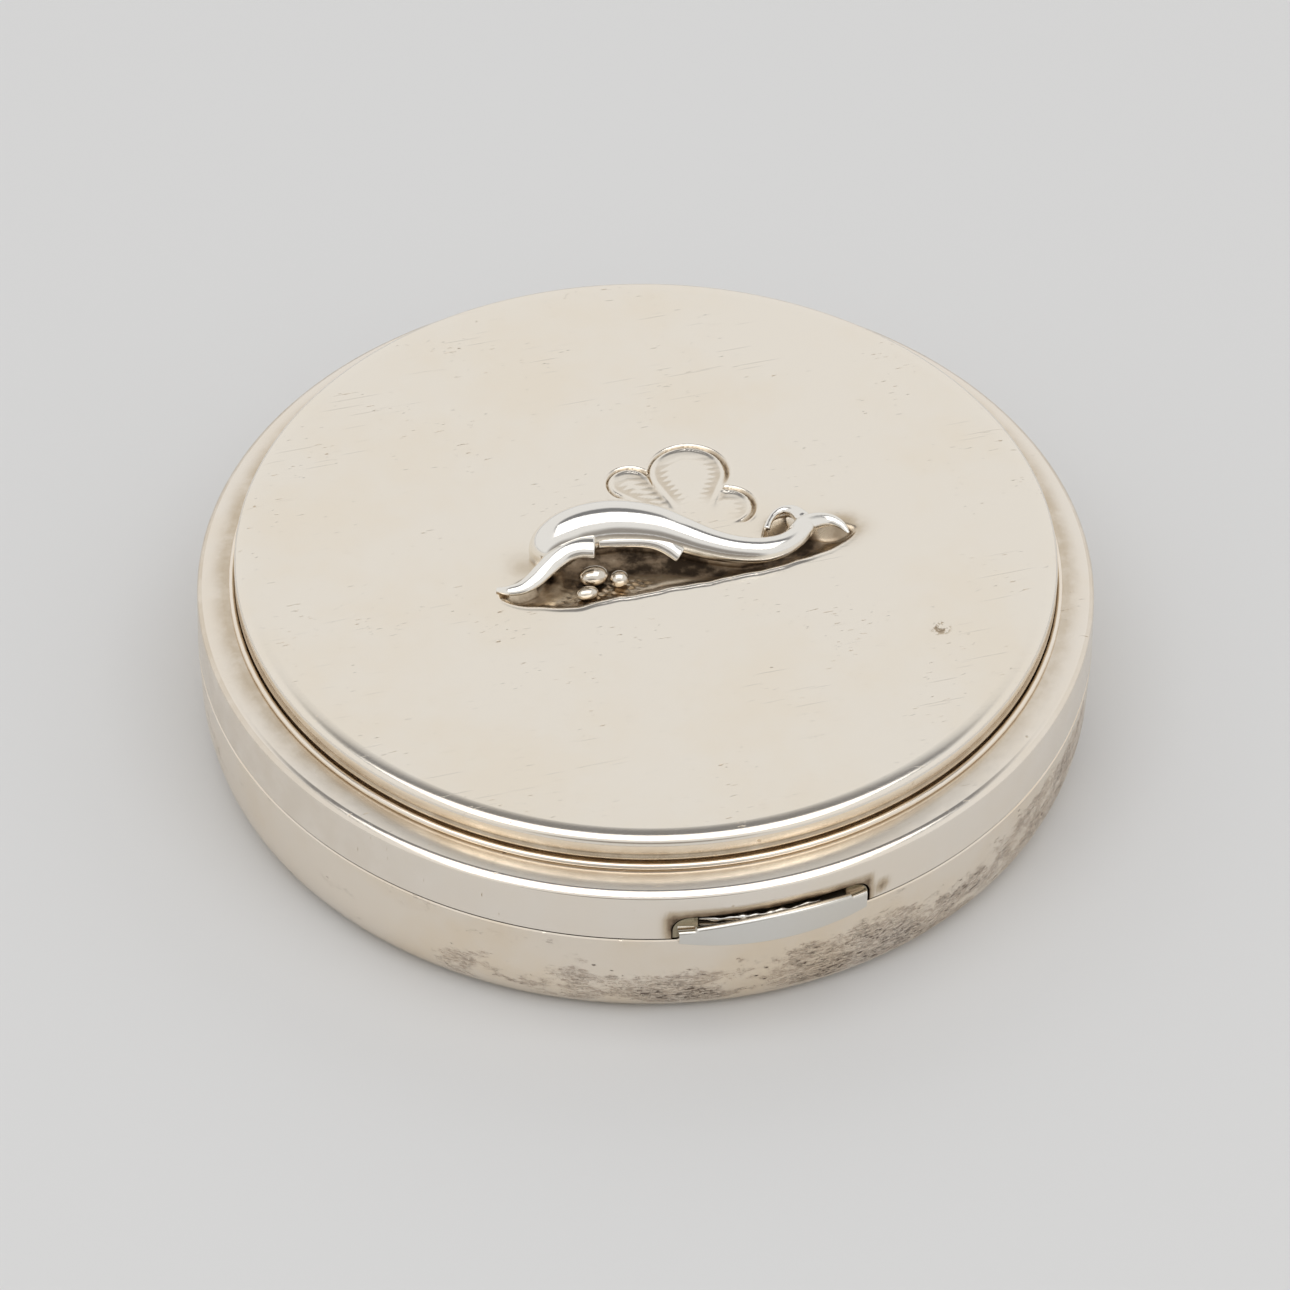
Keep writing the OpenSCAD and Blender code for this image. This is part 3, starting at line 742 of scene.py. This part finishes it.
def field_height(x, y):
    """Height over the lid's flat top, and how tarnished it is with painted shade under the dolphin, for
    arrays in mm.
    """
    front_y, back_y = field_edges(x)
    front = y - front_y
    back = back_y - y
    lip = 1 - (1 - np.clip(front / FIELD_LIP, 0, 1)) ** 2.2
    depth = lip * smooth_step(0.0, FIELD_BACK, back) * (front > 0) * (back > 0)
    glint = smooth_step(-7.5, -2.5, x) * (1 - smooth_step(6.5, 9.5, x))
    burr = (0.02 + 0.05 * glint) * np.exp(-((front + 0.16) / 0.13) ** 2) * (back > 0.4)
    bedding = mound(x, y, *BEDDING)
    rough = 0.06 * bedding * np.sin(9 * x + 2 * y) * np.sin(11 * y + 1.3 * x)
    fan_height, fan_stain = fan(x, y)
    fan_area = smooth_step(0.2, 0.9, y) * (1 - depth)
    height = -FIELD_DEPTH * depth + burr + rough + fan_height * fan_area
    return height, np.maximum(field_patina_and_shade(x, y, depth, bedding), fan_stain * fan_area)


# The plate's mesh: a fine patch in the middle, then rings out over the flat and down the platform's wall.
PATCH_X = (-13, 14)             # in mm, as are the next two
PATCH_Y = (-7, 9)
PATCH_STEP = 0.08
FLAT_RINGS = 10
WALL_RINGS = 16
WALL_FOOT = LEDGE_Z + 0.01 * MM
WALL_RISE = 0.98                # in mm, from the foot to where the rounded edge starts
WALL_WAVE = 0.03                # in mm, half the depth of the grooves turned in the wall


def plate_patch():
    """The patch's points, faces and stains with painted shade under the dolphin, and the loop of points
    round it.
    """
    xs = np.arange(PATCH_X[0], PATCH_X[1] + PATCH_STEP / 2, PATCH_STEP)
    ys = np.arange(PATCH_Y[0], PATCH_Y[1] + PATCH_STEP / 2, PATCH_STEP)
    nx, ny = len(xs), len(ys)
    gx, gy = np.meshgrid(xs, ys)
    height, patina = field_height(gx, gy)
    verts = np.stack([gx * MM, gy * MM, LID_TOP + height * MM], -1).reshape(-1, 3)
    faces = [(j * nx + i, j * nx + i + 1, (j + 1) * nx + i + 1, (j + 1) * nx + i)
             for j in range(ny - 1) for i in range(nx - 1)]
    loop = list(range(nx))
    loop += [j * nx + nx - 1 for j in range(1, ny)]
    loop += [(ny - 1) * nx + i for i in range(nx - 2, -1, -1)]
    loop += [j * nx for j in range(ny - 2, 0, -1)]
    return verts, faces, list(patina.ravel()), loop


def wall_stain(z):
    """Tarnish lines round the platform's wall, fading out towards its rounded edge."""
    up = (z - WALL_FOOT) / MM
    lines = 0.43 + 0.15 * math.sin(17 * up + 1) + 0.10 * math.sin(41 * up)
    return lines * float(smooth_step(1.15, 0.92, up))


def plate_rings(start):
    """Rings of points and their stains, from the patch's border out, down the wall and in underneath."""
    angle = np.arctan2(start[:, 1], start[:, 0])
    circle = np.stack([np.cos(angle), np.sin(angle)], -1)
    flat_r = PLATFORM_R - rounded_width(EDGE_ARCS)
    rings = []
    for step in range(1, FLAT_RINGS + 1):
        t = step / FLAT_RINGS
        xy = start[:, :2] * (1 - t) + circle * flat_r * t
        rings.append((np.column_stack([xy, np.full(len(xy), LID_TOP)]), 0.0))
    wall = rounded_edge((flat_r, LID_TOP), EDGE_ARCS)
    for i in range(WALL_RINGS + 1):
        up = WALL_RISE * (1 - i / WALL_RINGS)
        wall.append((PLATFORM_R - WALL_WAVE * (1 - math.cos(11 * up)) * MM, WALL_FOOT + up * MM))
    inside_r = PLATFORM_R - WALL
    under = LID_TOP - PLATE_T
    inner = [(inside_r, WALL_FOOT)] + [(inside_r * share, under) for share in (1, 0.7, 0.4, 0.1)]
    stained = [(r, z, wall_stain(z)) for r, z in wall] + [(r, z, 0.0) for r, z in inner]
    rings += [(np.column_stack([circle * r, np.full(len(circle), z)]), stain) for r, z, stain in stained]
    return rings


def make_plate():
    verts, faces, stains, loop = plate_patch()
    m = len(loop)
    before = loop
    total = len(verts)
    all_verts = [verts]
    for ring, stain in plate_rings(verts[loop]):
        now = list(range(total, total + m))
        faces += [(before[k], now[k], now[(k + 1) % m], before[(k + 1) % m]) for k in range(m)]
        all_verts.append(ring)
        stains += [stain] * m
        total += m
        before = now
    faces.append(tuple(reversed(before)))
    obj = mesh_object("lid_top_plate", np.concatenate(all_verts), faces, 50)
    # The plate's patina attribute holds tarnish and the painted shade under the dolphin.
    paint(obj, "patina", stains)
    dress(obj, PLATE_SILVER, "lid", "plate_silver", "lid_plate", "fan_lobe_left", "fan_lobe_centre",
          "fan_lobe_right", "fan_ribs")


# ---------- relief ----------

# Each row is x, y and height over the lid on the form's centre line, then its half width and half height.
BODY_ROWS = [
    (-5.76, 0.30, -0.55, 0.80, 0.42), (-5.45, 0.50, 0.45, 1.20, 1.17), (-4.75, 0.60, 1.15, 1.33, 1.31),
    (-3.60, 0.68, 1.52, 1.36, 1.34), (-2.14, 0.56, 1.65, 1.36, 1.34), (-0.77, 0.23, 1.62, 1.31, 1.29),
    (0.57, -0.22, 1.44, 1.20, 1.18), (1.85, -0.86, 1.12, 1.03, 1.01), (3.11, -1.62, 0.86, 0.88, 0.88),
    (4.41, -2.20, 0.66, 0.78, 0.78), (5.78, -2.54, 0.53, 0.72, 0.72), (6.97, -2.50, 0.50, 0.65, 0.65),
    (8.00, -2.05, 0.50, 0.60, 0.58), (8.80, -1.30, 0.50, 0.58, 0.52)]
SNOUT_ROWS = [
    (-8.82, -1.36, 0.10, 0.18, 0.12), (-8.28, -1.68, 0.20, 0.34, 0.24), (-7.57, -1.75, 0.30, 0.44, 0.30),
    (-6.86, -1.53, 0.50, 0.52, 0.36), (-6.10, -1.16, 0.80, 0.58, 0.42), (-5.44, -0.87, 1.12, 0.64, 0.46),
    (-4.69, -0.66, 1.40, 0.70, 0.50), (-3.95, -0.66, 1.55, 0.78, 0.54), (-3.25, -0.85, 1.60, 0.84, 0.56)]
FIN_ROWS = [
    (-2.82, -0.40, 1.45, 0.45, 0.38), (-1.59, -0.62, 1.42, 0.48, 0.40), (-0.47, -0.81, 1.34, 0.52, 0.42),
    (0.35, -1.02, 1.20, 0.60, 0.46), (0.99, -1.33, 0.98, 0.68, 0.48), (1.50, -1.71, 0.70, 0.70, 0.44)]
FLUKE_ROWS = [
    (8.00, -1.90, 0.50, 0.58, 0.50), (8.85, -1.15, 0.50, 0.60, 0.50), (9.66, -0.93, 0.46, 0.50, 0.44),
    (10.36, -1.06, 0.40, 0.38, 0.32), (10.83, -1.47, 0.28, 0.27, 0.22), (11.08, -1.96, 0.10, 0.12, 0.10)]
CURL_ROWS = [
    (8.87, -0.61, 0.50, 0.46, 0.40), (8.55, 0.06, 0.50, 0.36, 0.32), (7.99, 0.36, 0.45, 0.25, 0.25),
    (7.42, 0.15, 0.40, 0.21, 0.22), (7.00, -0.30, 0.34, 0.19, 0.20), (6.78, -0.66, 0.28, 0.21, 0.20)]
END_ROUND = 0.10                # the ends of a swept form are rounded over this length, in mm,
END_SHRINK = 0.35               # and get narrower by this share


def curve_points(rows, steps):
    """Catmull-Rom curve through rows of numbers."""
    rows = np.array(rows, float)
    out = []
    for i in range(len(rows) - 1):
        p0, p1, p2, p3 = (rows[max(i - 1, 0)], rows[i], rows[i + 1], rows[min(i + 2, len(rows) - 1)])
        for t in np.arange(steps) / steps:
            out.append(0.5 * (2 * p1 + (p2 - p0) * t + (2 * p0 - 5 * p1 + 4 * p2 - p3) * t * t
                              + (3 * p1 - p0 - 3 * p2 + p3) * t ** 3))
    return np.array(out + [rows[-1]])


def sweep(name, rows, keel=0.0, steps=10, sides=48):
    """Closed form of rounded section along a curve; keel raises a ridge along its back."""
    path = curve_points(rows, steps)
    along = np.gradient(path[:, :3], axis=0)
    along /= np.linalg.norm(along, axis=1)[:, None]
    side = np.cross(along, [0, 0, 1])
    side /= np.linalg.norm(side, axis=1)[:, None]
    up = np.cross(side, along)
    turn = np.linspace(0, 2 * math.pi, sides, endpoint=False)
    across = np.cos(turn)
    ridge = (1 - np.abs(across)) ** 1.15
    lift = np.where(turn < math.pi, (1 - keel) * np.sin(turn) + keel * ridge, np.sin(turn))

    def ring(i, offset=0.0, scale=1.0):
        centre = path[i, :3] + along[i] * offset
        return (centre + side[i] * (path[i, 3] * scale * across)[:, None]
                + up[i] * (path[i, 4] * scale * lift)[:, None])

    caps = [(END_ROUND * math.sin(t), 1 - END_SHRINK * (1 - math.cos(t))) for t in np.radians((30, 60, 85))]
    last = len(path) - 1
    rings = [ring(0, -offset, scale) for offset, scale in reversed(caps)]
    rings += [ring(i) for i in range(last + 1)]
    rings += [ring(last, offset, scale) for offset, scale in caps]
    return loft(name, [r * MM + np.array([0, 0, LID_TOP]) for r in rings], 50)


def fused(name, parts, voxel, smoothing):
    """One skin round overlapping parts, with their joins smoothed as in a casting."""
    bm = bmesh.new()
    for part in parts:
        bm.from_mesh(part.data)
        bpy.data.objects.remove(part)
    obj = object_from(name, bm)
    remesh = obj.modifiers.new("skin", "REMESH")
    remesh.mode = "VOXEL"
    remesh.voxel_size = voxel
    smooth = obj.modifiers.new("smooth", "SMOOTH")
    smooth.factor = 0.5
    smooth.iterations = smoothing
    bpy.context.view_layer.update()
    done = bpy.data.meshes.new_from_object(obj.evaluated_get(bpy.context.evaluated_depsgraph_get()))
    obj.modifiers.clear()
    obj.data = done
    tidy_mesh(obj, 80)
    return obj


def bead(name, places):
    """One or more stretched beads; a place is (x, y, height over the lid, three half axes) in mm."""
    bm = bmesh.new()
    for x, y, z, half in places:
        size = Matrix.Diagonal([h * MM for h in half] + [1])
        spot = Matrix.Translation((x * MM, y * MM, LID_TOP + z * MM))
        bmesh.ops.create_uvsphere(bm, u_segments=48, v_segments=32, radius=1, matrix=spot @ size)
    obj = object_from(name, bm)
    tidy_mesh(obj)
    return obj


def make_relief():
    body = sweep("body", BODY_ROWS, steps=12, sides=64)
    parts = [body, sweep("fluke", FLUKE_ROWS, 0.2), sweep("curl", CURL_ROWS)]
    dolphin = fused("dolphin_body", parts, 0.05 * MM, 10)
    dress(dolphin, RELIEF_SILVER, "lid", "relief_silver", "relief_body", "relief_fluke", "relief_curl")
    dress(sweep("dolphin_snout", SNOUT_ROWS, 0.12), RELIEF_SILVER, "lid", "relief_silver", "relief_snout")
    dress(sweep("dolphin_fin", FIN_ROWS), RELIEF_SILVER, "lid", "relief_silver", "relief_fin")
    dress(bead("bead_large", [(-3.34, -1.18, -0.35, (0.85, 0.62, 0.54))]), BEAD_SILVER, "lid",
          "relief_silver", "relief_bead_large")
    small = [(-4.00, -2.24, -0.55, (0.64, 0.42, 0.36)), (-1.99, -1.63, -0.50, (0.55, 0.50, 0.46))]
    dress(bead("beads_small", small), BEAD_SILVER, "lid", "relief_silver", "relief_beads_small")


# ---------- catch ----------

BAR_FRONT_R = 13.4 * MM
BAR_EDGE_T = 0.42 * MM          # thickness of the upstanding front edge
BAR_GROOVE = 0.5 * MM           # depth of the groove behind it
BAR_STEP = 0.17 * MM            # the edge steps down by this much near its two ends
BAR_END = 0.95 * MM
BAR_ROUND = 0.16 * MM
BAR_LEAN = 0.32 * MM
BAR_PEAK = 0.9 * MM             # the edge is highest this far right of the middle
BAR_ARCH = 0.016 / MM           # and falls by this much times the distance squared
BAR_FOOT = 0.10 * MM
SOLDER_START = -4.0 * MM
SOLDER_LENGTH = 6.6 * MM
LEAF_T = 0.15 * MM


def bar_front(x):
    """The y of the push bar's curved front face."""
    return BAR_LO.y + BAR_FRONT_R - math.sqrt(BAR_FRONT_R ** 2 - x * x)


def bar_section(x, top):
    """Outline of the push bar across x: upstanding front edge that leans back, and a groove behind it."""
    front = bar_front(x)
    back = -math.sqrt((BODY_R - 0.1 * MM) ** 2 - x * x)
    groove = BAR_HI.z - BAR_GROOVE
    edge = front + BAR_LEAN * (1 - (x / BAR_HI.x) ** 2)
    edge_back = edge + BAR_EDGE_T
    outline = quarter((front + BAR_FOOT, BAR_LO.z + BAR_FOOT), BAR_FOOT, BAR_FOOT, 270, 180, 4)
    outline += quarter((edge + BAR_ROUND, top - BAR_ROUND), BAR_ROUND, BAR_ROUND, 180, 90, 8)
    outline += quarter((edge_back - BAR_ROUND, top - BAR_ROUND), BAR_ROUND, BAR_ROUND, 90, 0, 8)
    outline += [(edge_back, groove), (back, groove), (back, BAR_LO.z)]
    return [(x, y, z) for y, z in outline]


def bar_top(x):
    """The top of the push bar's edge, a low arch."""
    return BAR_HI.z - BAR_ARCH * (x - BAR_PEAK) ** 2


def make_push_bar():
    half = BAR_HI.x
    step = half - BAR_END
    ramp = 0.10 * MM
    stations = [(-half, bar_top(-half) - BAR_STEP / 2), (-step - ramp, bar_top(-step) - BAR_STEP)]
    stations += [(x, bar_top(x)) for x in np.linspace(-step, step, 51)]
    stations += [(step + ramp, bar_top(step) - BAR_STEP), (half, bar_top(half) - BAR_STEP / 2)]
    bar = loft("push_bar_edge", [bar_section(float(x), top) for x, top in stations], 40)
    dress(bar, BAR_SILVER, "push_piece", "bar_silver", "push_bar")


def make_solder():
    """Lumpy solder run in the groove behind the push bar's edge."""
    rings = []
    for t in np.linspace(0, 1, 90):
        x = SOLDER_START + SOLDER_LENGTH * t
        lump = 0.5 + 0.3 * math.sin(23 * t) + 0.2 * math.sin(57 * t + 1)
        size = (0.05 + 0.15 * lump) * MM * math.sqrt(max(0.02, math.sin(math.pi * t)))
        y = bar_front(x) + BAR_LEAN + BAR_EDGE_T + (0.16 + 0.03 * math.sin(31 * t)) * MM
        z = BAR_HI.z - BAR_GROOVE + 0.20 * MM
        turn = np.linspace(0, 2 * math.pi, 12, endpoint=False)
        rings.append([(x, y + size * math.cos(a), z + size * 1.3 * math.sin(a)) for a in turn])
    dress(loft("bar_solder", rings, 60), BAR_SILVER, "push_piece", "bar_silver")


def make_spring():
    """Bowed leaf spring of the catch."""
    bow = SPRING_HI.y - SPRING_LO.y
    half = SPRING_HI.x
    rings = []
    for t in np.linspace(-1, 1, 49):
        x = float(t) * half
        y = SPRING_LO.y + (bow - LEAF_T) * float(t) ** 2
        rings.append([(x, y, SPRING_LO.z), (x, y + LEAF_T, SPRING_LO.z), (x, y + LEAF_T, SPRING_HI.z),
                      (x, y, SPRING_HI.z)])
    obj = loft("catch_leaf_spring", rings, 40)
    dress(obj, SPRING_METAL, "base", "spring_metal", "catch_spring")
    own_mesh(obj)


def dress_cad_nodes():
    for name in ("hinge_bearer_base", "hinge_bearer_lid", "hinge_knuckles_base", "hinge_knuckles_lid",
                 "hinge_pin"):
        dress_node(name, HINGE_SILVER)
    for name in ("base_bezel", "catch_housing", "push_stem", "catch_ears", "strike_lugs"):
        dress_node(name, INNER_SILVER)
    dress_node("push_carrier", CARRIER_SILVER)
    dress_node("field_dish", DISH_SILVER)
    dress_node("foot_wire", WIRE_SILVER)


make_base()
make_rim()
make_plate()
make_relief()
make_push_bar()
make_solder()
make_spring()
dress_cad_nodes()


# ---------- floor, light and camera ----------

FLOOR_SIZE = 6
FLOOR_TONE = (0.67, 0.67, 0.67, 1)
SOFTBOX_SIDE = -16.3                    # azimuth in degrees: 0 is in front of the catch, 90 to the right
WALL_TOP = math.sin(math.radians(50))   # the pale walls end, and the dark ceiling begins, at these heights
CEILING = math.sin(math.radians(57))
WALL_TONE = (0.83, 0.825, 0.815, 1)
CEILING_TONE = (0.20, 0.20, 0.205, 1)
PATCH_REACH = (0.82, 0.95)              # cosines of the angles at which the dark patch begins and is full
PATCH_TONE = (0.36, 0.34, 0.32, 1)
WHITE = (1, 1, 1, 1)


def make_floor():
    bpy.ops.mesh.primitive_plane_add(size=FLOOR_SIZE, location=(0, 0, 0))
    floor = bpy.context.object
    floor.name = "floor"
    s = Shader("floor_paper")
    s.finish(FLOOR_TONE, 0.6, None, metallic=0.0)
    floor.data.materials.append(s.material)


def softbox(name, azimuth, elevation, distance, width, height, brightness):
    """Rectangular light that faces the box; azimuth 0 is in front, 90 to the right."""
    light = bpy.data.lights.new(name, "AREA")
    light.shape = "RECTANGLE"
    light.size = width
    light.size_y = height
    light.energy = brightness * math.pi * width * height
    obj = bpy.data.objects.new(name, light)
    a, e = math.radians(azimuth), math.radians(elevation)
    toward = Vector((math.sin(a) * math.cos(e), -math.cos(a) * math.cos(e), math.sin(e)))
    obj.location = toward * distance
    obj.rotation_euler = toward.to_track_quat("Z", "Y").to_euler()
    bpy.context.scene.collection.objects.link(obj)


def ramp(tree, value, ends, tones):
    """Colour that eases from one tone to the other between the two values."""
    node = tree.nodes.new("ShaderNodeValToRGB")
    node.color_ramp.interpolation = "EASE"
    for element, position, tone in zip(node.color_ramp.elements, ends, tones):
        element.position = position
        element.color = tone
    tree.links.new(value, node.inputs["Fac"])
    return node.outputs["Color"]


def make_world():
    """Pale studio walls, a darker ceiling that the top softbox lights, and a dark patch low in front."""
    world = bpy.data.worlds.new("studio")
    world.use_nodes = True
    tree = world.node_tree
    direction = tree.nodes.new("ShaderNodeTexCoord").outputs["Generated"]
    split = tree.nodes.new("ShaderNodeSeparateXYZ")
    tree.links.new(direction, split.inputs[0])
    front = tree.nodes.new("ShaderNodeVectorMath")
    front.operation = "DOT_PRODUCT"
    side = math.radians(SOFTBOX_SIDE)
    front.inputs[1].default_value = (math.sin(side), -math.cos(side), 0)
    tree.links.new(direction, front.inputs[0])
    mix = tree.nodes.new("ShaderNodeMix")
    mix.data_type = "RGBA"
    mix.blend_type = "MULTIPLY"
    mix.inputs[0].default_value = 1.0
    height = ramp(tree, split.outputs["Z"], (WALL_TOP, CEILING), (WALL_TONE, CEILING_TONE))
    patch = ramp(tree, front.outputs["Value"], PATCH_REACH, (WHITE, PATCH_TONE))
    tree.links.new(height, mix.inputs[6])
    tree.links.new(patch, mix.inputs[7])
    tree.links.new(mix.outputs[2], tree.nodes["Background"].inputs["Color"])
    bpy.context.scene.world = world


VIEW_AZIMUTH = math.radians(16.3)
VIEW_ELEVATION = math.radians(42.72)
VIEW_DISTANCE = 332.2 * MM
VIEW_ROLL = math.radians(0.66)
VIEW_DROP = 0.0165              # the aim lies this slope below the middle of the lid's top
SENSOR = 36                     # the sensor's width and the focal length, in mm
FOCAL_LENGTH = 167.442
CLIP = (0.01, 20)


def make_camera():
    c, s = math.cos(VIEW_ELEVATION), math.sin(VIEW_ELEVATION)
    right = Vector((math.cos(VIEW_AZIMUTH), -math.sin(VIEW_AZIMUTH), 0))
    away = Vector((math.sin(VIEW_AZIMUTH), math.cos(VIEW_AZIMUTH), 0))
    forward = away * c - Vector((0, 0, s))
    up = away * s + Vector((0, 0, c))
    position = Vector((0, 0, LID_TOP)) - forward * VIEW_DISTANCE
    aim = (forward - up * VIEW_DROP).normalized()
    up = right.cross(aim)
    rolled_right = right * math.cos(VIEW_ROLL) + up * math.sin(VIEW_ROLL)
    rolled_up = up * math.cos(VIEW_ROLL) - right * math.sin(VIEW_ROLL)
    data = bpy.data.cameras.new("camera")
    data.sensor_width = SENSOR
    data.lens = FOCAL_LENGTH
    data.clip_start, data.clip_end = CLIP
    camera = bpy.data.objects.new("camera", data)
    axes = Matrix((rolled_right, rolled_up, -aim)).transposed()
    camera.matrix_world = Matrix.Translation(position) @ axes.to_4x4()
    bpy.context.scene.collection.objects.link(camera)
    bpy.context.scene.camera = camera


make_floor()
make_world()
softbox("top_box", azimuth=SOFTBOX_SIDE, elevation=79, distance=1.0, width=1.3, height=0.86, brightness=1.6)
make_camera()
bpy.context.scene.view_settings.view_transform = "Standard"
